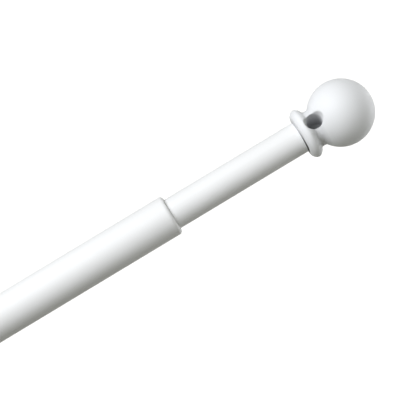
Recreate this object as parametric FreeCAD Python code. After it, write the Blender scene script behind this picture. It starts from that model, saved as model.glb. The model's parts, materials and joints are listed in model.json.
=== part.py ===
import FreeCAD, Part
import math
import os

os.makedirs("parts", exist_ok=True)

# A telescopic curtain rod with a ball finial at each end, in millimetres.
# The rod lies along X. The origin is the centre of the fixed finial's hook hole, and Z runs along both
# hook holes. The larger tube is fixed, and the smaller one pulls out towards +X.

# Tubes
outer_tube_d = 13.0        # outside diameter of the larger tube
outer_tube_len = 210.0     # length of the larger tube
outer_wall = 0.4           # steel of the larger tube
inner_wall = 0.4           # steel of the smaller tube
tube_step = 1.1            # radial room between the larger bore and the smaller tube
pulled_out = 45.1          # smaller tube that shows between mouth and finial
mouth_round = 0.6          # outer rounding of the rolled mouth
lip_clear = 0.2            # air between the rolled lip and the smaller tube
least_round = 0.05         # smallest rounding inside the rolled lip

# Finial moulding
collar_d = 16.2            # rounded collar that covers the tube's end
collar_w = 3.8
collar_front = 1.0         # rounding of the collar's rim at the tube
collar_round = 0.75        # share of the collar's height above the neck that its back rounding takes
neck_d = 12.0              # groove between collar and ball
neck_w = 1.83              # from the collar to the foot of the ball
neck_hollow = 0.9          # hollow corner between collar and neck
ball_d = 20.8
hook_hole_d = 4.9          # crossed, blind hole for the hook
hook_hole_at = 5.2         # from the collar's front to the hole's axis
hook_hole_depth = 10.0     # from the boss's top to the blind end of the hole
boss_wall = 1.5            # moulded wall round the mouth of the hole
boss_h = 6.4               # top of the boss above the rod's axis
boss_flare = 0.4           # radius of the flared foot of the boss
boss_round = 0.6           # rounding of the boss's top edge
mouth_depth = 0.6          # from the boss's top down to where the hole begins to open out
mouth_slope = 12.0         # degrees that the hole's mouth leans out
spigot_len = 15.0
spigot_core = 2.4          # radius of the moulding's core hole
spigot_bottom = 4.0        # plastic left between the core hole and the collar
rib_h = 0.35               # height of the grip ribs on the spigot
rib_w = 0.9
undercut = 1.0             # depth of the undercut at the spigot's root
undercut_w = 1.2
rib_count = 6
lead_in = 0.5              # bevel at the tip of what is pushed into a tube
seat_gap = 0.35            # shadow line between tube end and collar

# Sleeves
adapter_len = 18.0
adapter_slot = 1.6         # slot that lets the sleeve close
bush_len = 14.0
bush_relief = 0.25         # depth of the relief inside the mouth bush
bush_land = 3.0            # guiding length at each end of the mouth bush

# Twist lock
flange_w = 2.0             # thin flange of the core
drive_flange_w = 4.0       # thick flange that the pin goes through
ring_w = 12.0              # width of the friction ring
eccentricity = 0.35        # offset of the journal from the rod's axis
lock_turn = 60.0           # degrees of twist between free and locked
ring_slot = 1.8            # gap that makes the ring springy
ring_groove = 0.3          # depth of the ring's grip grooves
ring_grooves = 5
shaft_side = 3.5           # square steel shaft
core_wall = 1.15           # plastic between the shaft's corner and the journal
core_bottom = 1.0          # plastic behind the shaft's blind end
pin_d = 1.6
pin_sunk = 0.4             # ends of the pin below the flange

# Spring and end bush
spring_wire = 0.8
spring_turns = 10
spring_spare = 2.0         # air left between all the turns of the fully pressed spring
washer_t = 0.8
end_flange_w = 3.0
end_spigot_len = 12.0
clip_t = 0.6
clip_slots = 4
shaft_past = 1.5           # shaft beyond the clip

# Travels
adjust_in = 25.0           # room for the lock to move in from the pose shown
spring_travel = 20.0       # how far the spring lets the smaller tube be pressed in

# Clearances
press_clear = 0.05         # pressed sleeves and spigots, on the radius
run_clear = 0.06           # what turns or slides in a bore, on the radius
face_clear = 0.2           # faces of pieces that move against each other
stop_clear = 1.0           # left at the inward end of the travel
tiny = 0.001               # edges shorter than this are left out of an outline

# Radii that follow
outer_r = outer_tube_d / 2
outer_bore = outer_r - outer_wall
inner_r = outer_bore - tube_step
inner_bore = inner_r - inner_wall
spigot_r = inner_bore - press_clear
collar_r = collar_d / 2
neck_r = neck_d / 2
rim_r = min(collar_w / 2, (collar_r - neck_r) * collar_round)
rim_centre_r = collar_r - rim_r
front_r = min(collar_front, rim_r)
ball_r = ball_d / 2
hole_r = hook_hole_d / 2
boss_r = hole_r + boss_wall
corner_r = shaft_side / math.sqrt(2)
journal_r = corner_r + core_wall
ring_swing = 2 * eccentricity * math.sin(math.radians(lock_turn / 2))
ring_bore = journal_r + ring_swing + run_clear
slider_r = outer_bore - run_clear
shaft_clear = 2 * run_clear
spring_r = corner_r + 2 * face_clear + spring_wire
spring_len = spring_travel + spring_turns * spring_wire + spring_spare
washer_r = min(spring_r + spring_wire, slider_r)

# Places along X
outer_x = hook_hole_at + seat_gap
mouth_x = outer_x + outer_tube_len
inner_end_x = mouth_x + pulled_out
moving_hook_x = inner_end_x + seat_gap + hook_hole_at
bush_end_x = mouth_x - outer_wall - press_clear
core_x = outer_x + adapter_len + adjust_in + stop_clear
ring_x = core_x + flange_w + face_clear / 2
drive_x = ring_x + ring_w + face_clear / 2
seat_x = drive_x + drive_flange_w
spring_x = seat_x + washer_t
bush_washer_x = spring_x + spring_len + face_clear
end_bush_x = bush_washer_x + washer_t
inner_x = end_bush_x + end_flange_w
stop_washer_x = inner_x + end_spigot_len + face_clear
clip_x = stop_washer_x + washer_t
shaft_x = core_x + core_bottom
shaft_end_x = clip_x + clip_t + shaft_past

X = FreeCAD.Vector(1, 0, 0)
Y = FreeCAD.Vector(0, 1, 0)
Z = FreeCAD.Vector(0, 0, 1)


def at(x, y=0.0, z=0.0):
    return FreeCAD.Vector(x, y, z)


def rod(radius, x, length):
    """A round bar along X."""
    return Part.makeCylinder(radius, length, at(x), X)


def tube(radius, bore, x, length):
    """A round tube along X."""
    return rod(radius, x, length).cut(rod(bore, x, length))


def square_bar(side, x, length):
    """A square bar along X."""
    return Part.makeBox(length, side, side, at(x, -side / 2, -side / 2))


def spoke(width, reach, x, length, angle):
    """A flat bar from the axis outwards, turned about X."""
    bar = Part.makeBox(length, width, reach, at(x, -width / 2, 0))
    bar.rotate(at(0), X, angle)
    return bar


def around(solid, count, start=0.0):
    """Copies of a solid spread evenly about X."""
    copies = []
    for i in range(count):
        copy = solid.copy()
        copy.rotate(at(0), X, start + i * 360.0 / count)
        copies.append(copy)
    return copies


def line(a, b):
    return Part.LineSegment(at(a[0], 0, a[1]), at(b[0], 0, b[1])).toShape()


def arc(a, middle, b):
    return Part.Arc(at(a[0], 0, a[1]), at(middle[0], 0, middle[1]), at(b[0], 0, b[1])).toShape()


def turned(edges):
    """Revolve a closed outline of (x, radius) edges about X, with its seam on the far side."""
    solid = Part.Face(Part.Wire(edges)).revolve(at(0), X, 360)
    solid.rotate(at(0), X, 180)
    return solid


def polygon(points):
    """The straight edges through a closed list of (x, radius) points."""
    return [line(a, b) for a, b in zip(points, points[1:] + points[:1])]


def lead_tip(radius, x, length, side):
    """A round bar with a bevel at its low end (side -1) or its high end (side 1)."""
    tip = x if side < 0 else x + length
    back = tip - side * lead_in
    base = x + length if side < 0 else x
    return turned(polygon([(base, 0), (base, radius), (back, radius), (tip, radius - lead_in), (tip, 0)]))


# Finials

def finial_head():
    """Collar, neck and ball in one turned outline. X is 0 at the collar's front."""
    s = math.sqrt(0.5)
    hollow = min(neck_hollow, rim_centre_r - neck_r, neck_w / 1.1)
    foot = collar_w + neck_w
    neck_x = collar_w + hollow
    end = ball_centre() + ball_r
    middle = (math.pi - math.asin(neck_r / ball_r)) / 2
    edges = [line((0, 0), (0, collar_r - front_r)),
             arc((0, collar_r - front_r), (front_r * (1 - s), collar_r - front_r * (1 - s)),
                 (front_r, collar_r)),
             arc((collar_w - rim_r, collar_r), (collar_w - rim_r * (1 - s), rim_centre_r + rim_r * s),
                 (collar_w, rim_centre_r)),
             arc((collar_w, neck_r + hollow), (neck_x - hollow * s, neck_r + hollow * (1 - s)),
                 (neck_x, neck_r)),
             line((neck_x, neck_r), (foot, neck_r)),
             arc((foot, neck_r), (ball_centre() + ball_r * math.cos(middle), ball_r * math.sin(middle)),
                 (end, 0)),
             line((end, 0), (0, 0))]
    if collar_w > front_r + rim_r + tiny:
        edges.insert(2, line((front_r, collar_r), (collar_w - rim_r, collar_r)))
    if rim_centre_r > neck_r + hollow + tiny:
        edges.insert(-4, line((collar_w, rim_centre_r), (collar_w, neck_r + hollow)))
    return turned(edges)


def ball_centre():
    return collar_w + neck_w + math.sqrt(ball_r ** 2 - neck_r ** 2)


def finial_spigot():
    """Cored spigot with grip ribs, which goes into the tube."""
    body = lead_tip(spigot_r - rib_h, -spigot_len, spigot_len, -1)
    ribs = around(spoke(rib_w, spigot_r, -spigot_len + lead_in, spigot_len - lead_in, 0), rib_count)
    ribs = [rib.common(lead_tip(spigot_r, -spigot_len, spigot_len, -1)) for rib in ribs]
    core = rod(spigot_core, -spigot_len, spigot_len - spigot_bottom)
    root = tube(spigot_r + tiny, spigot_r - rib_h - undercut, -undercut_w, undercut_w)
    return body.multiFuse(ribs).cut([core, root]).Solids[0]


def hook_boss():
    """Round boss on the hook hole's axis, with a rounded top edge and a flared foot."""
    top = min(boss_round, boss_wall / 2)
    s = math.sqrt(0.5)
    wall_end = boss_h - boss_flare
    outline = [line((0, 0), (0, boss_h)),
               line((0, boss_h), (boss_r - top, boss_h)),
               arc((boss_r - top, boss_h), (boss_r - top * (1 - s), boss_h - top * (1 - s)),
                   (boss_r, boss_h - top)),
               line((boss_r, boss_h - top), (boss_r, wall_end)),
               arc((boss_r, wall_end), (boss_r + boss_flare * (1 - s), wall_end - boss_flare * s),
                   (boss_r + boss_flare, wall_end - boss_flare)),
               line((boss_r + boss_flare, wall_end - boss_flare), (boss_r + boss_flare, 0)),
               line((boss_r + boss_flare, 0), (0, 0))]
    boss = Part.Face(Part.Wire(outline)).revolve(at(0), Z, 360)
    boss.translate(at(hook_hole_at))
    return boss


def hook_hole():
    """The blind hook hole as a solid, whose mouth opens out from just under the boss's top."""
    reach = 2 * ball_r
    bottom = boss_h - hook_hole_depth
    mouth = boss_h - mouth_depth
    mouth_r = hole_r + (reach - mouth) * math.tan(math.radians(mouth_slope))
    outline = [line((0, bottom), (hole_r, bottom)),
               line((hole_r, bottom), (hole_r, mouth)),
               line((hole_r, mouth), (mouth_r, reach)),
               line((mouth_r, reach), (0, reach)),
               line((0, reach), (0, bottom))]
    hole = Part.Face(Part.Wire(outline)).revolve(at(0), Z, 360)
    hole.translate(at(hook_hole_at))
    return hole


def finial():
    """The whole moulding, with its hook hole along Z."""
    head = finial_head().fuse(hook_boss()).Solids[0]
    return head.cut(hook_hole()).Solids[0].fuse(finial_spigot()).Solids[0]


def moving_finial():
    solid = finial()
    solid.translate(at(moving_hook_x - hook_hole_at))
    return solid


def fixed_finial():
    solid = finial()
    solid.rotate(at(0), Z, 180)
    solid.translate(at(hook_hole_at))
    return solid


# Tubes and sleeves

def outer_tube():
    """The larger tube, with its mouth rolled in over the guide bush."""
    lip_bore = inner_r + lip_clear
    s = math.sqrt(0.5)
    turn = mouth_round
    inside = max(turn - outer_wall, least_round)
    corner = mouth_x - turn
    back = mouth_x - outer_wall
    edges = [line((outer_x, outer_bore), (outer_x, outer_r)),
             line((outer_x, outer_r), (corner, outer_r)),
             arc((corner, outer_r), (corner + turn * s, outer_r - turn * (1 - s)),
                 (mouth_x, outer_r - turn)),
             line((mouth_x, outer_r - turn), (mouth_x, lip_bore)),
             line((mouth_x, lip_bore), (back, lip_bore)),
             line((back, lip_bore), (back, outer_bore - inside)),
             arc((back, outer_bore - inside), (back - inside * (1 - s), outer_bore - inside * (1 - s)),
                 (back - inside, outer_bore)),
             line((back - inside, outer_bore), (outer_x, outer_bore))]
    return turned(edges)


def inner_tube():
    return tube(inner_r, inner_bore, inner_x, inner_end_x - inner_x)


def tube_adapter():
    """Split sleeve between the finial's spigot and the larger tube."""
    sleeve = lead_tip(outer_bore - press_clear, outer_x, adapter_len, 1)
    sleeve = sleeve.cut(rod(inner_bore, outer_x, adapter_len))
    return sleeve.cut(spoke(adapter_slot, outer_r, outer_x, adapter_len, 180))


def mouth_bush():
    """Guide sleeve in the mouth, relieved between its two lands."""
    x = bush_end_x - bush_len
    bore = inner_r + run_clear
    sleeve = lead_tip(outer_bore - press_clear, x, bush_len, 1).cut(rod(bore, x, bush_len))
    relief = rod(bore + bush_relief, x + bush_land, bush_len - 2 * bush_land)
    return sleeve.cut(relief)


# Twist lock

def lock_core():
    """Two flanges and the eccentric journal, bored square for the shaft."""
    journal = Part.makeCylinder(journal_r, drive_x - core_x, at(core_x, 0, eccentricity), X)
    core = journal.fuse([rod(slider_r, core_x, flange_w), rod(slider_r, drive_x, drive_flange_w)])
    core = core.cut(square_bar(shaft_side, shaft_x, seat_x - shaft_x))
    return core.cut(pin_bar(0.0)).Solids[0]


def pin_bar(shorter):
    """The cross pin's place in the thick flange."""
    length = 2 * (slider_r - shorter)
    return Part.makeCylinder(pin_d / 2, length, at(drive_x + drive_flange_w / 2, -length / 2, 0), Y)


def shaft_pin():
    return pin_bar(pin_sunk)


def lock_shaft():
    """Square shaft with bevelled end and the hole for its pin."""
    shaft = square_bar(shaft_side, shaft_x, shaft_end_x - shaft_x)
    shaft = shaft.common(lead_tip(corner_r, shaft_x, shaft_end_x - shaft_x, 1))
    return shaft.cut(pin_bar(0.0))


def lock_ring():
    """Springy ring with an eccentric bore and grip grooves."""
    ring = rod(slider_r, ring_x, ring_w)
    bore = Part.makeCylinder(ring_bore, ring_w, at(ring_x, 0, eccentricity), X)
    ring = ring.cut(bore).cut(spoke(ring_slot, outer_r, ring_x, ring_w, 180))
    pitch = ring_w / (ring_grooves + 1)
    for i in range(ring_grooves):
        x = ring_x + (i + 1) * pitch - pitch / 6
        ring = ring.cut(tube(slider_r + 1, slider_r - ring_groove, x, pitch / 3))
    return ring


# Spring and end bush

def washer(x, bore, radius):
    return tube(radius, bore, x, washer_t)


def spring_seat():
    return washer(seat_x, corner_r + face_clear, washer_r)


def bush_washer():
    return washer(bush_washer_x, corner_r + face_clear, washer_r)


def spring():
    """Round wire on a helix, ground flat at both ends."""
    pitch = spring_len / spring_turns
    helix = Part.makeHelix(pitch, spring_len + 2 * pitch, spring_r)
    start = helix.Edges[0].valueAt(helix.Edges[0].FirstParameter)
    wire = Part.Wire(Part.makeCircle(spring_wire / 2, start, Y))
    coil = Part.Wire(helix).makePipeShell([wire], True, True)
    coil.rotate(at(0), Y, 90)
    coil.translate(at(spring_x - pitch))
    return coil.common(rod(2 * spring_r, spring_x, spring_len))


def end_bush():
    """Flanged plug in the smaller tube, which slides along the square shaft."""
    plug = lead_tip(spigot_r, inner_x, end_spigot_len, 1)
    flange = rod(slider_r, end_bush_x, end_flange_w)
    length = end_flange_w + end_spigot_len
    return plug.fuse(flange).cut(square_bar(shaft_side + shaft_clear, end_bush_x, length))


def stop_washer():
    return washer(stop_washer_x, corner_r + run_clear, inner_bore - 2 * face_clear)


def stop_clip():
    """Push-on clip, slotted from its square hole outwards."""
    disc = rod(inner_bore - 2 * face_clear, clip_x, clip_t)
    slots = around(spoke(2 * face_clear, corner_r + 2 * face_clear, clip_x, clip_t, 0), clip_slots, 45.0)
    return disc.cut(slots).cut(square_bar(shaft_side, clip_x, clip_t))


PIECES = {
    "outer_tube": outer_tube,
    "inner_tube": inner_tube,
    "moving_finial": moving_finial,
    "fixed_finial": fixed_finial,
    "tube_adapter": tube_adapter,
    "mouth_bush": mouth_bush,
    "lock_ring": lock_ring,
    "lock_core": lock_core,
    "lock_shaft": lock_shaft,
    "shaft_pin": shaft_pin,
    "spring_seat": spring_seat,
    "spring": spring,
    "bush_washer": bush_washer,
    "end_bush": end_bush,
    "stop_washer": stop_washer,
    "stop_clip": stop_clip,
}

for name, make in PIECES.items():
    piece = make()
    piece.exportStep("parts/" + name + ".step")
    print(name, "solids", len(piece.Solids), "valid", piece.isValid(), "volume", round(piece.Volume, 2))

adjust_out = bush_end_x - bush_len - inner_x
print("travel in", adjust_in, "travel out", round(adjust_out, 2))
print("hook holes", 0.0, round(moving_hook_x, 3))
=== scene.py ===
"""Looks for a white telescopic curtain rod with ball finials, laid out as a Blender add-on."""
import json
import math

import bpy
from bpy.props import FloatProperty, FloatVectorProperty, IntProperty, PointerProperty
from mathutils import Matrix, Vector


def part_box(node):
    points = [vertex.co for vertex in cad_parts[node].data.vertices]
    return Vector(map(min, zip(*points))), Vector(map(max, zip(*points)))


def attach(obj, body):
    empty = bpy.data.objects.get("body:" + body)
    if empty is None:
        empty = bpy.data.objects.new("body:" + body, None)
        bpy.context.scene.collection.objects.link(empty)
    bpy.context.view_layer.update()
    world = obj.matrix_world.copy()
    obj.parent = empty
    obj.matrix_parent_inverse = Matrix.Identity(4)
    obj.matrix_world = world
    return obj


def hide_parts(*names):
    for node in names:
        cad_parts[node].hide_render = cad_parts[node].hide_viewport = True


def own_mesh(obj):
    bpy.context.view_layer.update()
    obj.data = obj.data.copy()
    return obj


bl_info = {
    "name": "Extending Curtain Rod",
    "version": (1, 0, 0),
    "blender": (4, 5, 0),
    "location": "3D View > Sidebar > Rod",
    "description": "Finishes and studio for a white telescopic curtain rod",
    "category": "Object",
}

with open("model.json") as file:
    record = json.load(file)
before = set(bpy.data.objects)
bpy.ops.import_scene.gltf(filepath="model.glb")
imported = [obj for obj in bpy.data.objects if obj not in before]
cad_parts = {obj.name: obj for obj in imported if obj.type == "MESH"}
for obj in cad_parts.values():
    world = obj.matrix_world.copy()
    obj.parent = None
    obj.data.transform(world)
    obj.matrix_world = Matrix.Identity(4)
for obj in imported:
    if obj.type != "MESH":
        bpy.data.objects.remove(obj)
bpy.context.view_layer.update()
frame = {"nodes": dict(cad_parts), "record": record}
NODES = frame["nodes"]

INNER_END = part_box("inner_tube")[1].x
SPRING_LOW, SPRING_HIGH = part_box("spring")
HOOK_HOLES = {mount["name"]: mount for mount in frame["record"]["mounts"]}

MM = 0.001             # the record's dimensions are in millimetres
SAME_PLACE = 1e-5      # points this close to a plane or a radius lie on it
MERGE_WITHIN = 1e-6    # points this close together become one
CUT_WITHIN = 1e-7      # points this close to a cut lie on it
NOISE_MIDDLE = 0.5
FINE_DETAIL, BROAD_DETAIL = 2.0, 3.0
RIPPLE_FLATNESS = 10   # a ripple is this many times as wide as it is high
TUBE_CREASE, WIRE_CREASE = math.radians(35), math.radians(40)    # sharper edges stay sharp
ALONG = Vector((1, 0, 0))


class RodFinishes(bpy.types.PropertyGroup):
    """Colours and surfaces of the rod."""
    coat_color: FloatVectorProperty(
        name="Coat", description="White powder coat of both tubes", subtype="COLOR", size=3,
        default=(0.86, 0.865, 0.87), min=0, max=1)
    coat_roughness: FloatProperty(
        name="Coat Roughness", description="Dullness of the powder coat", default=0.5, min=0, max=1)
    coat_gloss: FloatProperty(
        name="Coat Gloss", description="Strength of the powder coat's reflection", default=0.25, min=0, max=1)
    peel_size: FloatProperty(
        name="Orange Peel Size", description="Width of one ripple in the coat", subtype="DISTANCE",
        unit="LENGTH", default=0.0012)
    plastic_color: FloatVectorProperty(
        name="Finial Plastic", description="White moulded plastic of the finials", subtype="COLOR", size=3,
        default=(0.845, 0.855, 0.872), min=0, max=1)
    plastic_roughness: FloatProperty(
        name="Plastic Roughness", description="Dullness of the moulded plastic", default=0.5, min=0, max=1)
    plastic_gloss: FloatProperty(
        name="Plastic Gloss", description="Strength of the moulded plastic's reflection", default=0.2,
        min=0, max=1)
    skin_size: FloatProperty(
        name="Skin Size", description="Width of one ripple in the moulded plastic", subtype="DISTANCE",
        unit="LENGTH", default=0.003)
    skin_depth: FloatProperty(
        name="Skin Depth", description="Strength of the ripple in the moulded plastic", default=0.05,
        min=0, max=1)
    # Painted shade: how much the finials' plastic is darkened where shade in the hook holes, the groove and
    # the seam is painted into its colour
    painted_shade_strength: FloatProperty(
        name="Painted Shade Strength", description="Share of its colour that the plastic loses where the tone is 1",
        default=0.35, min=0, max=1)
    natural_color: FloatVectorProperty(
        name="Natural Plastic", description="Uncoloured plastic of the inner mouldings", subtype="COLOR",
        size=3, default=(0.74, 0.72, 0.65), min=0, max=1)
    natural_roughness: FloatProperty(
        name="Natural Roughness", description="Dullness of the uncoloured plastic", default=0.5,
        min=0, max=1)
    ring_color: FloatVectorProperty(
        name="Ring Plastic", description="Grey plastic of the lock ring", subtype="COLOR", size=3,
        default=(0.09, 0.095, 0.1), min=0, max=1)
    ring_roughness: FloatProperty(
        name="Ring Roughness", description="Dullness of the lock ring", default=0.55, min=0, max=1)
    zinc_color: FloatVectorProperty(
        name="Zinc", description="Zinc plate on the inner steel", subtype="COLOR", size=3,
        default=(0.55, 0.56, 0.58), min=0, max=1)
    zinc_roughness: FloatProperty(
        name="Zinc Roughness", description="Dullness of the zinc plate and of the clip", default=0.35,
        min=0, max=1)
    zinc_mottle: FloatProperty(
        name="Zinc Mottle", description="How much the zinc plate varies in tone", default=0.2, min=0, max=1)
    wire_color: FloatVectorProperty(
        name="Spring Wire", description="Drawn spring steel", subtype="COLOR", size=3,
        default=(0.32, 0.32, 0.33), min=0, max=1)
    wire_roughness: FloatProperty(
        name="Wire Roughness", description="Dullness of the spring's wire", default=0.3, min=0, max=1)


class RodForms(bpy.types.PropertyGroup):
    """Sizes of the pieces that are modelled here."""
    tube_sides: IntProperty(name="Tube Sides", description="Sides of the larger tube", default=96, min=12)
    tube_wall: FloatProperty(
        name="Tube Wall", description="Steel of the larger tube", subtype="DISTANCE", unit="LENGTH",
        default=0.0004)
    lip_reach: FloatProperty(
        name="Lip Reach", description="Length of the larger tube that is rolled in at its mouth",
        subtype="DISTANCE", unit="LENGTH", default=0.0011)
    lip_loops: IntProperty(name="Lip Loops", description="Edge loops along the rolled lip", default=6, min=1)
    lip_run_out: FloatProperty(
        name="Lip Run-out", description="Where an extra edge loop lies, as a multiple of the lip's reach",
        default=1.3, min=1)
    lip_radius: FloatProperty(
        name="Lip Radius", description="Radius of the opening that the rolled lip leaves",
        subtype="DISTANCE", unit="LENGTH", default=0.00535)
    mould_grain: FloatProperty(
        name="Mould Grain", description="Width of one face of the finials' skin", subtype="DISTANCE",
        unit="LENGTH", default=0.0002)
    mould_soften: IntProperty(
        name="Mould Soften", description="Passes that round the finials' moulded edges", default=10, min=0)
    collar_middle: FloatProperty(
        name="Collar Middle", description="From the hook hole back to the middle of the collar",
        subtype="DISTANCE", unit="LENGTH", default=0.0033)
    collar_half: FloatProperty(
        name="Collar Half", description="Half the width of the collar", subtype="DISTANCE", unit="LENGTH",
        default=0.0019)
    collar_catch: FloatProperty(
        name="Collar Catch", description="Share of the collar's half width within which its skin is rounded",
        default=1.06, min=1)
    seam_width: FloatProperty(
        name="Seam Width", description="Width of the shoulder that fills the gap between collar and tube",
        subtype="DISTANCE", unit="LENGTH", default=0.0003)
    seam_radius: FloatProperty(
        name="Seam Radius", description="Radius of that shoulder", subtype="DISTANCE", unit="LENGTH",
        default=0.00465)
    seam_root: FloatProperty(
        name="Seam Root", description="Radius of the undercut that the shoulder rises from",
        subtype="DISTANCE", unit="LENGTH", default=0.00355)
    collar_root: FloatProperty(
        name="Collar Root", description="Radius from which the collar is rounded into a bead",
        subtype="DISTANCE", unit="LENGTH", default=0.0062)
    collar_radius: FloatProperty(
        name="Collar Radius", description="Radius of the collar's crown", subtype="DISTANCE", unit="LENGTH",
        default=0.0081)
    shoulder_radius: FloatProperty(
        name="Shoulder Radius", description="Distance from the rod's axis of the slopes beside the hook hole",
        subtype="DISTANCE", unit="LENGTH", default=0.0056)
    shoulder_rise: FloatProperty(
        name="Shoulder Rise", description="How much less the slope on the far side falls away",
        subtype="DISTANCE", unit="LENGTH", default=0.0011)
    shoulder_blend: FloatProperty(
        name="Shoulder Blend", description="Width over which the near slope passes into the far one",
        subtype="DISTANCE", unit="LENGTH", default=0.0058)
    shoulder_reach: FloatProperty(
        name="Shoulder Reach", description="Distance from the hook hole's axis up to which the boss slopes",
        subtype="DISTANCE", unit="LENGTH", default=0.0062)
    shoulder_back: FloatProperty(
        name="Shoulder Back", description="From the hook hole back to where the slopes meet the collar",
        subtype="DISTANCE", unit="LENGTH", default=0.0013)
    shoulder_front: FloatProperty(
        name="Shoulder Front", description="From the hook hole on to where the slopes end",
        subtype="DISTANCE", unit="LENGTH", default=0.0019)
    ball_middle: FloatProperty(
        name="Ball Middle", description="From the hook hole on to the middle of the ball",
        subtype="DISTANCE", unit="LENGTH", default=0.0089)
    ball_radius: FloatProperty(
        name="Ball Radius", description="Radius of the ball", subtype="DISTANCE", unit="LENGTH",
        default=0.0104)
    # From here to the seam's reach: where the finials' painted shade lies and how dark it is. Shade is
    # painted into the colour in the hook hole, in the groove between collar and ball, and in the seam behind
    # the collar, darkest on its side where y is negative
    hole_mouth: FloatProperty(
        name="Hole Mouth", description="Height above the rod's axis where the hook hole turns straight",
        subtype="DISTANCE", unit="LENGTH", default=0.0058)
    hole_spread: FloatProperty(
        name="Hole Spread", description="How far round the hook hole its tone reaches, in radii of the hole",
        default=1.13, min=1)
    mouth_painted_shade: FloatProperty(
        name="Mouth Painted Shade", description="Tone where the hook hole turns straight; 1 is the tone lower down",
        default=0.25, min=0, max=1)
    groove_radius: FloatProperty(
        name="Groove Radius", description="Radius below which the groove between collar and ball is toned",
        subtype="DISTANCE", unit="LENGTH", default=0.0078)
    groove_fade: FloatProperty(
        name="Groove Fade", description="Depth over which the groove comes to its full tone",
        subtype="DISTANCE", unit="LENGTH", default=0.0018)
    groove_back: FloatProperty(
        name="Groove Back", description="From the hook hole back to where the groove's tone ends",
        subtype="DISTANCE", unit="LENGTH", default=0.0022)
    groove_front: FloatProperty(
        name="Groove Front", description="From the hook hole on to where the groove's tone ends",
        subtype="DISTANCE", unit="LENGTH", default=0.0016)
    groove_painted_shade: FloatProperty(
        name="Groove Painted Shade", description="Full tone of the groove", default=0.4, min=0, max=1)
    seam_painted_shade: FloatProperty(
        name="Seam Painted Shade", description="Tone of the shoulder in the gap, on its near side",
        default=2.6, min=0)
    seam_far_painted_shade: FloatProperty(
        name="Seam Far Painted Shade", description="Share of the seam's tone that is left on its far side",
        default=0.4, min=0, max=1)
    seam_reach: FloatProperty(
        name="Seam Reach", description="Where the seam's tone ends on its far side, in radii of the shoulder",
        default=1.02, min=1)
    seam_near_reach: FloatProperty(
        name="Seam Near Reach", description="How many radii further its tone reaches on its near side",
        default=0.13, min=0)
    wire_thickness: FloatProperty(
        name="Wire Thickness", description="Thickness of the spring's wire", subtype="DISTANCE",
        unit="LENGTH", default=0.0008)
    wire_sides: IntProperty(name="Wire Sides", description="Sides of the spring's wire", default=12, min=3)
    turn_steps: IntProperty(
        name="Turn Steps", description="Steps in one turn of the spring", default=36, min=8)
    spring_turns: IntProperty(name="Spring Turns", description="Turns of the spring", default=10, min=1)
    spring_pressed: FloatProperty(
        name="Spring Pressed", description="Share of the spring's length that is left when it is pressed in",
        default=0.33, min=0.1, max=1)


class RodStudio(bpy.types.PropertyGroup):
    """Floor, lights and camera."""
    floor_drop: FloatProperty(
        name="Floor Drop", description="Floor below the rod's axis", subtype="DISTANCE", unit="LENGTH",
        default=0.22)
    floor_size: FloatProperty(
        name="Floor Size", description="Side of the floor", subtype="DISTANCE", unit="LENGTH", default=6.0)
    floor_color: FloatVectorProperty(
        name="Floor Color", description="Colour in which the floor throws light back",
        subtype="COLOR", size=3, default=(0.4, 0.4, 0.375), min=0, max=1)
    floor_glow: FloatProperty(
        name="Floor Glow", description="How far the floor is lifted to white in the picture", default=0.8)
    floor_mirror: FloatProperty(
        name="Floor Mirror", description="Share of that white that glossy surfaces reflect", default=0.5)
    lamp_color: FloatVectorProperty(
        name="Lamp Color", description="Colour of both lights", subtype="COLOR", size=3,
        default=(0.947, 0.96, 1.0), min=0, max=1)
    key_power: FloatProperty(
        name="Key", description="Power of the large soft light on the left", subtype="POWER", default=6.15)
    key_distance: FloatProperty(
        name="Key Distance", description="From the light to what the camera looks at", subtype="DISTANCE",
        unit="LENGTH", default=0.7)
    key_from: FloatVectorProperty(
        name="Key From", description="Direction of the key light: along the rod, across it, to the camera",
        size=3, default=(-0.3, 0.62, 0.77))
    key_side: FloatProperty(
        name="Key Side", description="Side of the square key light", subtype="DISTANCE", unit="LENGTH",
        default=0.6)
    rim_power: FloatProperty(
        name="Rim", description="Power of the weak light beyond the moving finial", subtype="POWER",
        default=1.5)
    rim_distance: FloatProperty(
        name="Rim Distance", description="From the finial's end to the weak light", subtype="DISTANCE",
        unit="LENGTH", default=0.3)
    rim_from: FloatVectorProperty(
        name="Rim From", description="Direction of the weak light: along the rod, across it, to the camera",
        size=3, default=(0.72, -0.34, -0.62))
    rim_side: FloatProperty(
        name="Rim Side", description="Side of the square weak light", subtype="DISTANCE", unit="LENGTH",
        default=0.35)
    sky: FloatProperty(name="Sky", description="Strength of the even light all round", default=0.21)
    sky_color: FloatVectorProperty(
        name="Sky Color", description="Colour of the even light all round", subtype="COLOR", size=3,
        default=(1.0, 0.995, 0.84), min=0, max=1)
    backdrop: FloatProperty(
        name="Backdrop", description="Brightness of the plain distance behind the rod", default=0.72)
    elevation: FloatProperty(
        name="Elevation", description="Camera above the horizon", subtype="ANGLE", unit="ROTATION",
        default=math.radians(72))
    roll: FloatProperty(
        name="Roll", description="Slope of the rod in the picture", subtype="ANGLE", unit="ROTATION",
        default=math.radians(31.08))
    distance: FloatProperty(
        name="Distance", description="Camera to the rod", subtype="DISTANCE", unit="LENGTH", default=0.3788)
    lens: FloatProperty(name="Lens", description="Focal length in millimetres", default=112.5)
    sensor: FloatProperty(name="Sensor", description="Width of the sensor in millimetres", default=36.0)
    look_back: FloatProperty(
        name="Look Back", description="From the end of the smaller tube back to the picture's centre",
        subtype="DISTANCE", unit="LENGTH", default=0.0357)
    look_down: FloatProperty(
        name="Look Down", description="Picture's centre below the rod's axis", subtype="DISTANCE",
        unit="LENGTH", default=0.00066)


def clamp(value, low=0.0, high=1.0):
    """The value, kept between these limits."""
    return min(high, max(low, value))


def new_material(name):
    """A material with its nodes, its links and its shader."""
    material = bpy.data.materials.new(name)
    material.use_nodes = True
    nodes = material.node_tree.nodes
    return material, nodes, material.node_tree.links, nodes["Principled BSDF"]


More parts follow.
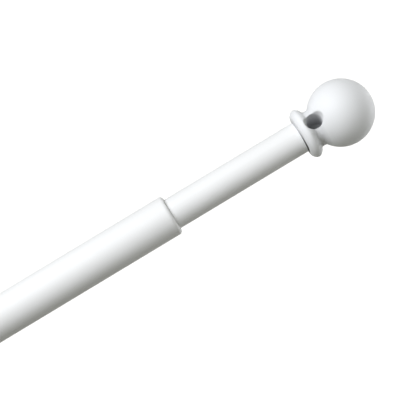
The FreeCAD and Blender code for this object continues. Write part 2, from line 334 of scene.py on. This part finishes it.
def ripple_group():
    """Fine ripple of a coat or a moulded skin: a tone factor and a height, from Object coordinates."""
    if "Surface Ripple" in bpy.data.node_groups:
        return bpy.data.node_groups["Surface Ripple"]
    group = bpy.data.node_groups.new("Surface Ripple", "ShaderNodeTree")
    face = group.interface
    for name, default in (("Scale", 800.0), ("Mottle Scale", 60.0), ("Mottle", 0.05)):
        socket = face.new_socket(name=name, in_out="INPUT", socket_type="NodeSocketFloat")
        socket.default_value = default
    face.new_socket(name="Height", in_out="OUTPUT", socket_type="NodeSocketFloat")
    face.new_socket(name="Tone", in_out="OUTPUT", socket_type="NodeSocketFloat")
    nodes, links = group.nodes, group.links
    ins, outs = nodes.new("NodeGroupInput"), nodes.new("NodeGroupOutput")
    place = nodes.new("ShaderNodeTexCoord")
    fine, broad = nodes.new("ShaderNodeTexNoise"), nodes.new("ShaderNodeTexNoise")
    fine.inputs["Detail"].default_value = FINE_DETAIL
    broad.inputs["Detail"].default_value = BROAD_DETAIL
    links.new(place.outputs["Object"], fine.inputs["Vector"])
    links.new(place.outputs["Object"], broad.inputs["Vector"])
    links.new(ins.outputs["Scale"], fine.inputs["Scale"])
    links.new(ins.outputs["Mottle Scale"], broad.inputs["Scale"])
    centre = nodes.new("ShaderNodeMath")
    centre.operation = "SUBTRACT"
    centre.inputs[1].default_value = NOISE_MIDDLE
    links.new(broad.outputs["Fac"], centre.inputs[0])
    tone = nodes.new("ShaderNodeMath")
    tone.operation = "MULTIPLY_ADD"
    tone.inputs[2].default_value = 1.0
    links.new(centre.outputs[0], tone.inputs[0])
    links.new(ins.outputs["Mottle"], tone.inputs[1])
    links.new(fine.outputs["Fac"], outs.inputs["Height"])
    links.new(tone.outputs[0], outs.inputs["Tone"])
    return group


def finish_material(name, color, roughness, metallic=0.0, ripple=0.0012, depth=0.1, mottle=0.06,
                    mottle_size=0.02, specular=0.5):
    """A finish whose tone, roughness and fine relief vary over the surface."""
    material, nodes, links, shader = new_material(name)
    skin = nodes.new("ShaderNodeGroup")
    skin.node_tree = ripple_group()
    skin.inputs["Scale"].default_value = 1 / ripple
    skin.inputs["Mottle Scale"].default_value = 1 / mottle_size
    skin.inputs["Mottle"].default_value = mottle
    tint = nodes.new("ShaderNodeVectorMath")
    tint.operation = "SCALE"
    tint.inputs[0].default_value = color
    links.new(skin.outputs["Tone"], tint.inputs["Scale"])
    links.new(tint.outputs[0], shader.inputs["Base Color"])
    dull = nodes.new("ShaderNodeMath")
    dull.operation = "MULTIPLY"
    dull.inputs[1].default_value = roughness
    links.new(skin.outputs["Tone"], dull.inputs[0])
    links.new(dull.outputs[0], shader.inputs["Roughness"])
    relief = nodes.new("ShaderNodeBump")
    relief.inputs["Strength"].default_value = depth
    relief.inputs["Distance"].default_value = ripple / RIPPLE_FLATNESS
    links.new(skin.outputs["Height"], relief.inputs["Height"])
    links.new(relief.outputs["Normal"], shader.inputs["Normal"])
    shader.inputs["Metallic"].default_value = metallic
    shader.inputs["Specular IOR Level"].default_value = specular
    return material


def darken_with_painted_shade(material, loss):
    """Paint shade into the colour: take this share off the base colour where the piece's painted-shade
    attribute is 1, and in proportion elsewhere."""
    nodes, links = material.node_tree.nodes, material.node_tree.links
    base = nodes["Principled BSDF"].inputs["Base Color"]
    # painted shade: the attribute that says how far the colour is darkened to stand in for shade
    painted_shade = nodes.new("ShaderNodeAttribute")
    painted_shade.attribute_name = "painted_shade"
    left = nodes.new("ShaderNodeMath")
    left.operation = "MULTIPLY_ADD"
    left.inputs[1].default_value = -loss
    left.inputs[2].default_value = 1.0
    links.new(painted_shade.outputs["Fac"], left.inputs[0])
    shade = nodes.new("ShaderNodeVectorMath")
    shade.operation = "SCALE"
    links.new(base.links[0].from_socket, shade.inputs[0])
    links.new(left.outputs[0], shade.inputs["Scale"])
    links.new(shade.outputs[0], base)


def dress(names, material):
    """Give CAD nodes their finish."""
    for name in names:
        for slot in NODES[name].material_slots:
            slot.material = material


def select_flat(piece, x, beyond=0.0):
    """In edit mode, select only what lies at this x, further than this from the rod's axis."""
    bpy.ops.mesh.select_all(action="DESELECT")
    bpy.ops.object.mode_set(mode="OBJECT")
    within = {p.index for p in piece.data.vertices
              if abs(p.co.x - x) < SAME_PLACE and math.hypot(p.co.y, p.co.z) > beyond}
    for edge in piece.data.edges:
        edge.select = set(edge.vertices) <= within
    for face in piece.data.polygons:
        face.select = set(face.vertices) <= within
    for point in piece.data.vertices:
        point.select = point.index in within
    bpy.ops.object.mode_set(mode="EDIT")


def rolled_tube(form):
    """The larger tube as a thin wall that is rolled in at its mouth."""
    low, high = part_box("outer_tube")
    length, bore = high.x - low.x, high.z - form.tube_wall
    bpy.ops.object.select_all(action="DESELECT")
    bpy.ops.mesh.primitive_cylinder_add(
        vertices=form.tube_sides, radius=high.z, depth=length, location=((low.x + high.x) / 2, 0, 0),
        rotation=(0, math.radians(90), 0))
    tube = bpy.context.object
    tube.name = "outer_tube_rolled"
    bpy.ops.object.transform_apply(location=True, rotation=True)
    bpy.ops.object.mode_set(mode="EDIT")
    bpy.ops.mesh.select_mode(type="FACE")
    # the mouth: its opening, the edge of the lip, and the bore back to the other end
    select_flat(tube, high.x)
    bpy.ops.mesh.inset(thickness=high.z - form.lip_radius)
    bpy.ops.mesh.extrude_region_move(TRANSFORM_OT_translate={"value": (-form.tube_wall, 0, 0)})
    bpy.ops.mesh.extrude_region_move(TRANSFORM_OT_translate={"value": (0, 0, 0)})
    bpy.ops.transform.resize(value=(1, bore / form.lip_radius, bore / form.lip_radius),
                             center_override=(high.x - form.tube_wall, 0, 0))
    bpy.ops.mesh.extrude_region_move(
        TRANSFORM_OT_translate={"value": (form.tube_wall - length, 0, 0)})
    bpy.ops.mesh.delete(type="ONLY_FACE")
    # the other end: a ring between skin and bore
    select_flat(tube, low.x)
    bpy.ops.mesh.delete(type="ONLY_FACE")
    bpy.ops.mesh.select_mode(type="EDGE")
    select_flat(tube, low.x)
    bpy.ops.mesh.bridge_edge_loops()
    # the roll
    select_flat(tube, high.x, beyond=high.z - SAME_PLACE)
    bpy.ops.mesh.bevel(offset=form.lip_reach, segments=form.lip_loops, affect="EDGES")
    bpy.ops.mesh.select_all(action="SELECT")
    bpy.ops.mesh.bisect(plane_co=(high.x - form.lip_reach * form.lip_run_out, 0, 0), plane_no=ALONG)
    bpy.ops.mesh.select_all(action="SELECT")
    bpy.ops.mesh.normals_make_consistent(inside=False)
    bpy.ops.object.mode_set(mode="OBJECT")
    bpy.ops.object.shade_smooth_by_angle(angle=TUBE_CREASE)
    return tube


class ROD_OT_tubes(bpy.types.Operator):
    """White powder coat on both tubes, and the larger one's rolled mouth"""
    bl_idname = "rod.tubes"
    bl_label = "Finish Tubes"

    def execute(self, context):
        look, form = context.scene.rod_finishes, context.scene.rod_forms
        coat = finish_material("powder_coat", look.coat_color, look.coat_roughness, ripple=look.peel_size,
                               specular=look.coat_gloss)
        dress(("inner_tube",), coat)
        tube = rolled_tube(form)
        tube.data.materials.append(coat)
        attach(tube, "holder")
        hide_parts("outer_tube")
        return {"FINISHED"}


def apply_modifier(piece, kind, **values):
    """Add a modifier with these values to the piece and apply it."""
    bpy.context.view_layer.objects.active = piece
    modifier = piece.modifiers.new(kind.lower(), kind)
    for name, value in values.items():
        setattr(modifier, name, value)
    bpy.ops.object.modifier_apply(modifier=modifier.name)


def outward_side(hole_x):
    """The finial at the rod's far end points along the rod, and the other one against it."""
    return 1 if hole_x > 0 else -1


def reshape(piece, hole_x, rule, form):
    """Move the points of a finial's skin. The rule takes a point's distance outwards from the hook hole, its
    distance from the rod's axis, y and z, and gives back the first two as they should be."""
    outwards = outward_side(hole_x)
    for point in piece.data.vertices:
        x, y, z = point.co
        along, radius = (x - hole_x) * outwards, math.hypot(y, z)
        new_along, new_radius = rule(form, along, radius, y, z)
        if (new_along, new_radius) != (along, radius):
            scale = new_radius / radius
            point.co = (hole_x + new_along * outwards, y * scale, z * scale)


def sloped_shoulder(form, along, radius, y, z):
    """Let the boss fall away on both sides of the hook hole, as round as the neck under it."""
    ball = math.sqrt(max(0.0, form.ball_radius ** 2 - (form.ball_middle - along) ** 2))
    far = clamp(0.5 + y / form.shoulder_blend)    # half way above the rod's axis
    limit = max(form.shoulder_radius + far * form.shoulder_rise, ball)
    on_boss = z > 0 and math.hypot(along, y) < form.shoulder_reach
    if on_boss and -form.shoulder_back < along < form.shoulder_front:
        radius = min(radius, limit)
    return along, radius


def rounded_collar(form, along, radius, *_):
    """Turn the collar's squarish section into a half-round bead."""
    height = form.collar_radius - form.collar_root
    across = (along + form.collar_middle) / form.collar_half
    rise = (radius - form.collar_root) / height
    if rise > 0 and abs(across) < form.collar_catch:
        across, rise = clamp(across, -1.0), clamp(rise)
        along = across * math.sqrt(1 - rise ** 2 / 2) * form.collar_half - form.collar_middle
        radius = form.collar_root + rise * math.sqrt(1 - across ** 2 / 2) * height
    return along, radius


def filled_seam(form, along, radius, *_):
    """Turn the corner behind the collar out into a narrow shoulder, so that no light comes through the gap
    at the tube's end."""
    face = -form.collar_middle - form.collar_half
    height = form.seam_radius - form.seam_root
    if face - form.seam_width < along < face + form.mould_grain and radius < form.seam_radius:
        turn = clamp((radius - form.seam_root) / height) - clamp((face - along) / form.seam_width)
        along = face - (1 - max(0.0, turn)) * form.seam_width
        radius = form.seam_radius + min(0.0, turn) * height
    return along, radius


def moulded_copy(node, hole_x, form):
    """The node's form as one even skin, with its sharp edges rounded off as in a moulding."""
    piece = bpy.data.objects.new(node + "_moulding", NODES[node].data.copy())
    bpy.context.scene.collection.objects.link(piece)
    bpy.ops.object.select_all(action="DESELECT")
    piece.select_set(True)
    bpy.context.view_layer.objects.active = piece
    bpy.ops.object.mode_set(mode="EDIT")
    bpy.ops.mesh.select_all(action="SELECT")
    bpy.ops.mesh.remove_doubles(threshold=MERGE_WITHIN)
    bpy.ops.object.mode_set(mode="OBJECT")
    apply_modifier(piece, "REMESH", mode="VOXEL", voxel_size=form.mould_grain)
    reshape(piece, hole_x, sloped_shoulder, form)
    reshape(piece, hole_x, rounded_collar, form)
    apply_modifier(piece, "SMOOTH", factor=0.5, iterations=form.mould_soften)
    reshape(piece, hole_x, filled_seam, form)
    bpy.ops.object.shade_smooth()
    return piece


def mark_painted_shade(piece, mount, form):
    """Write a painted shade for each point of the hook hole, of the groove between collar and ball, and of
    the seam behind the collar: a darkening of the colour that stands in for the shade in these recesses,
    darkest deep in the hole and on the seam's side where y is negative. It is 0 elsewhere."""
    hole_x = mount["pos_m"][0]
    hole_reach = mount["dims"]["r_mm"] * MM * form.hole_spread
    hole_length = mount["dims"]["length_mm"] * MM
    outwards = outward_side(hole_x)
    face = -form.collar_middle - form.collar_half
    painted_shades = []
    for point in piece.data.vertices:
        x, y, z = point.co
        radius = math.hypot(y, z)
        along = (x - hole_x) * outwards
        depth = (form.hole_mouth - z) / hole_length
        near = clamp(-y / form.seam_radius)
        reach = form.seam_radius * (form.seam_reach + form.seam_near_reach * near)
        # painted shade: deeper in the hook hole is darker, the seam is darkest where y is negative, the
        # groove fades in below its radius
        if math.hypot(x - hole_x, y) < hole_reach and 0 < depth:
            painted_shades.append(min(1.0, form.mouth_painted_shade + depth))
        elif along < face + form.mould_grain / 2 and radius < reach:
            painted_shades.append(form.seam_painted_shade * (form.seam_far_painted_shade + (1 - form.seam_far_painted_shade) * near))
        elif -form.groove_back < along < form.groove_front:
            painted_shades.append(form.groove_painted_shade * clamp((form.groove_radius - radius) / form.groove_fade))
        else:
            painted_shades.append(0.0)
    painted_shade = piece.data.attributes.new("painted_shade", "FLOAT", "POINT")
    painted_shade.data.foreach_set("value", painted_shades)


class ROD_OT_finials(bpy.types.Operator):
    """White mouldings at both ends, with soft edges round boss and collar"""
    bl_idname = "rod.finials"
    bl_label = "Model Finials"

    def execute(self, context):
        look, form = context.scene.rod_finishes, context.scene.rod_forms
        plastic = finish_material("finial_plastic", look.plastic_color, look.plastic_roughness,
                                  ripple=look.skin_size, depth=look.skin_depth,
                                  specular=look.plastic_gloss)
        # shade painted into the plastic's colour, by each finial's painted-shade attribute
        darken_with_painted_shade(plastic, look.painted_shade_strength)
        for node, body, mount in (("moving_finial", "slider", "hook_hole_moving"),
                                  ("fixed_finial", "holder", "hook_hole_fixed")):
            piece = moulded_copy(node, HOOK_HOLES[mount]["pos_m"][0], form)
            mark_painted_shade(piece, HOOK_HOLES[mount], form)
            piece.data.materials.clear()
            piece.data.materials.append(plastic)
            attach(piece, body)
            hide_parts(node)
        return {"FINISHED"}


class ROD_OT_spring(bpy.types.Operator):
    """Compression spring, coiled from wire and carried with the lock"""
    bl_idname = "rod.spring"
    bl_label = "Model Spring"

    def execute(self, context):
        look, form = context.scene.rod_finishes, context.scene.rod_forms
        wire_radius = form.wire_thickness / 2
        length = SPRING_HIGH.x - SPRING_LOW.x
        coil_radius = SPRING_HIGH.z - wire_radius
        pitch = length / form.spring_turns
        turns = form.spring_turns + 1    # the cuts below take off half a turn at each end
        steps = form.turn_steps * turns
        bpy.ops.object.select_all(action="DESELECT")
        bpy.ops.mesh.primitive_circle_add(
            vertices=form.wire_sides, radius=wire_radius, fill_type="NOTHING",
            rotation=(math.radians(90), 0, 0), location=(SPRING_LOW.x - pitch / 2, 0, coil_radius))
        coil = context.object
        coil.name = "spring_coil"
        bpy.ops.object.transform_apply(location=True, rotation=True)
        apply_modifier(coil, "SCREW", axis="X", angle=math.tau * turns, screw_offset=length + pitch,
                       iterations=1, steps=steps, render_steps=steps, use_merge_vertices=False)
        bpy.ops.object.mode_set(mode="EDIT")
        for x, low in ((SPRING_LOW.x, True), (SPRING_HIGH.x, False)):
            bpy.ops.mesh.select_all(action="SELECT")
            bpy.ops.mesh.bisect(plane_co=(x, 0, 0), plane_no=ALONG, use_fill=True, clear_inner=low,
                                clear_outer=not low, threshold=CUT_WITHIN)
        bpy.ops.mesh.select_all(action="SELECT")
        bpy.ops.mesh.remove_doubles(threshold=MERGE_WITHIN)
        bpy.ops.mesh.normals_make_consistent(inside=False)
        bpy.ops.object.mode_set(mode="OBJECT")
        bpy.ops.object.shade_smooth_by_angle(angle=WIRE_CREASE)
        coil.data.materials.append(
            finish_material("spring_wire", look.wire_color, look.wire_roughness, metallic=1.0))
        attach(coil, "lock")
        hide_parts("spring")
        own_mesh(coil)
        return {"FINISHED"}


class ROD_OT_mechanism(bpy.types.Operator):
    """Plastic, zinc and spring wire on what works inside the tubes"""
    bl_idname = "rod.mechanism"
    bl_label = "Finish Mechanism"

    def execute(self, context):
        look = context.scene.rod_finishes
        natural = finish_material("natural_plastic", look.natural_color, look.natural_roughness)
        dress(("tube_adapter", "mouth_bush", "lock_core", "end_bush"), natural)
        dress(("lock_ring",), finish_material("ring_plastic", look.ring_color, look.ring_roughness))
        zinc = finish_material("zinc_plate", look.zinc_color, look.zinc_roughness, metallic=1.0,
                               mottle=look.zinc_mottle)
        dress(("lock_shaft", "shaft_pin", "spring_seat", "bush_washer", "stop_washer"), zinc)
        dress(("stop_clip",),
              finish_material("spring_steel", look.wire_color, look.zinc_roughness, metallic=1.0))
        return {"FINISHED"}


def picture_axes(studio):
    """Right, up and towards-camera directions of the picture, and the direction across the rod."""
    across = Vector((0, math.sin(studio.elevation), math.cos(studio.elevation)))
    right = ALONG * math.cos(studio.roll) - across * math.sin(studio.roll)
    up = ALONG * math.sin(studio.roll) + across * math.cos(studio.roll)
    return right, up, right.cross(up), across


def place_looking(thing, position, right, up, back):
    """Put the thing here, with its own axes along these directions."""
    thing.matrix_world = Matrix.Translation(position) @ Matrix((right, up, back)).transposed().to_4x4()


def add_lamp(scene, name, color, power, side, target, towards, distance):
    """A square soft light that faces the target from this direction."""
    light = bpy.data.lights.new(name, "AREA")
    light.shape = "SQUARE"
    light.size = side
    light.energy = power
    light.color = color
    lamp = bpy.data.objects.new(name, light)
    scene.collection.objects.link(lamp)
    lamp.location = target + towards.normalized() * distance
    lamp.rotation_mode = "QUATERNION"
    lamp.rotation_quaternion = towards.to_track_quat("Z", "Y")


def floor_material(studio):
    """White to the camera, less bright in glossy surfaces, pale in other light, and clear from below."""
    material, nodes, links, shader = new_material("pale_floor")
    shader.inputs["Base Color"].default_value = (*studio.floor_color, 1)
    shader.inputs["Roughness"].default_value = 0.9
    shader.inputs["Specular IOR Level"].default_value = 0.0
    shader.inputs["Emission Color"].default_value = (1, 1, 1, 1)
    seen = nodes.new("ShaderNodeLightPath")
    direct = nodes.new("ShaderNodeMath")
    direct.operation = "MULTIPLY_ADD"
    direct.inputs[1].default_value = studio.floor_mirror
    links.new(seen.outputs["Is Glossy Ray"], direct.inputs[0])
    links.new(seen.outputs["Is Camera Ray"], direct.inputs[2])
    glow = nodes.new("ShaderNodeMath")
    glow.operation = "MULTIPLY"
    glow.inputs[1].default_value = studio.floor_glow
    links.new(direct.outputs[0], glow.inputs[0])
    links.new(glow.outputs[0], shader.inputs["Emission Strength"])
    side = nodes.new("ShaderNodeNewGeometry")
    clear = nodes.new("ShaderNodeBsdfTransparent")
    choose = nodes.new("ShaderNodeMixShader")
    links.new(side.outputs["Backfacing"], choose.inputs[0])
    links.new(shader.outputs[0], choose.inputs[1])
    links.new(clear.outputs[0], choose.inputs[2])
    links.new(choose.outputs[0], nodes["Material Output"].inputs["Surface"])
    return material


def build_sky(scene, studio):
    """Even light all round, behind which the camera sees a plain white distance."""
    world = scene.world or bpy.data.worlds.new("sky")
    scene.world = world
    world.use_nodes = True
    nodes, links = world.node_tree.nodes, world.node_tree.links
    background = nodes["Background"]
    background.inputs["Color"].default_value = (*studio.sky_color, 1)
    background.inputs["Strength"].default_value = studio.sky
    backdrop = nodes.new("ShaderNodeBackground")
    backdrop.inputs["Color"].default_value = (1, 1, 1, 1)
    backdrop.inputs["Strength"].default_value = studio.backdrop
    rays = nodes.new("ShaderNodeLightPath")
    either = nodes.new("ShaderNodeMixShader")
    links.new(rays.outputs["Is Camera Ray"], either.inputs[0])
    links.new(background.outputs[0], either.inputs[1])
    links.new(backdrop.outputs[0], either.inputs[2])
    links.new(either.outputs[0], nodes["World Output"].inputs["Surface"])


class ROD_OT_studio(bpy.types.Operator):
    """Pale floor, soft light from the left and the camera"""
    bl_idname = "rod.studio"
    bl_label = "Build Studio"

    def execute(self, context):
        scene, studio = context.scene, context.scene.rod_studio
        right, up, back, across = picture_axes(studio)
        centre = Vector((INNER_END - studio.look_back, 0, 0)) - across * studio.look_down
        tip = Vector((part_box("moving_finial")[1].x, 0, 0))

        bpy.ops.object.select_all(action="DESELECT")
        bpy.ops.mesh.primitive_plane_add(
            size=studio.floor_size, location=(centre.x, 0, -studio.floor_drop))
        floor = context.object
        floor.name = "floor"
        bpy.ops.object.transform_apply(location=True)
        floor.data.materials.append(floor_material(studio))

        for name, power, side, target, aim, distance in (
                ("key", studio.key_power, studio.key_side, centre, studio.key_from, studio.key_distance),
                ("rim", studio.rim_power, studio.rim_side, tip, studio.rim_from, studio.rim_distance)):
            towards = ALONG * aim[0] + across * aim[1] + back * aim[2]
            add_lamp(scene, name, studio.lamp_color, power, side, target, towards, distance)
        build_sky(scene, studio)

        lens = bpy.data.cameras.new("camera")
        lens.lens = studio.lens
        lens.sensor_width = studio.sensor
        camera = bpy.data.objects.new("camera", lens)
        scene.collection.objects.link(camera)
        place_looking(camera, centre + back * studio.distance, right, up, back)
        scene.camera = camera
        scene.view_settings.view_transform = "Standard"
        return {"FINISHED"}


class ROD_PT_panel(bpy.types.Panel):
    """Sizes, finishes and steps of the rod"""
    bl_idname = "ROD_PT_panel"
    bl_label = "Curtain Rod"
    bl_space_type = "VIEW_3D"
    bl_region_type = "UI"
    bl_category = "Rod"

    def draw(self, context):
        for group in (context.scene.rod_forms, context.scene.rod_finishes, context.scene.rod_studio):
            for name in group.bl_rna.properties.keys():
                if name not in ("rna_type", "name"):
                    self.layout.prop(group, name)
        for step in STEPS:
            self.layout.operator(step.bl_idname)


STEPS = (ROD_OT_tubes, ROD_OT_finials, ROD_OT_spring, ROD_OT_mechanism, ROD_OT_studio)
GROUPS = (RodForms, RodFinishes, RodStudio)


def register():
    for cls in GROUPS + STEPS + (ROD_PT_panel,):
        bpy.utils.register_class(cls)
    bpy.types.Scene.rod_forms = PointerProperty(type=RodForms)
    bpy.types.Scene.rod_finishes = PointerProperty(type=RodFinishes)
    bpy.types.Scene.rod_studio = PointerProperty(type=RodStudio)


def unregister():
    del bpy.types.Scene.rod_studio
    del bpy.types.Scene.rod_finishes
    del bpy.types.Scene.rod_forms
    for cls in reversed(GROUPS + STEPS + (ROD_PT_panel,)):
        bpy.utils.unregister_class(cls)


def main():
    register()
    bpy.ops.rod.tubes()
    bpy.ops.rod.finials()
    bpy.ops.rod.spring()
    bpy.ops.rod.mechanism()
    bpy.ops.rod.studio()


if __name__ == "__main__":
    main()
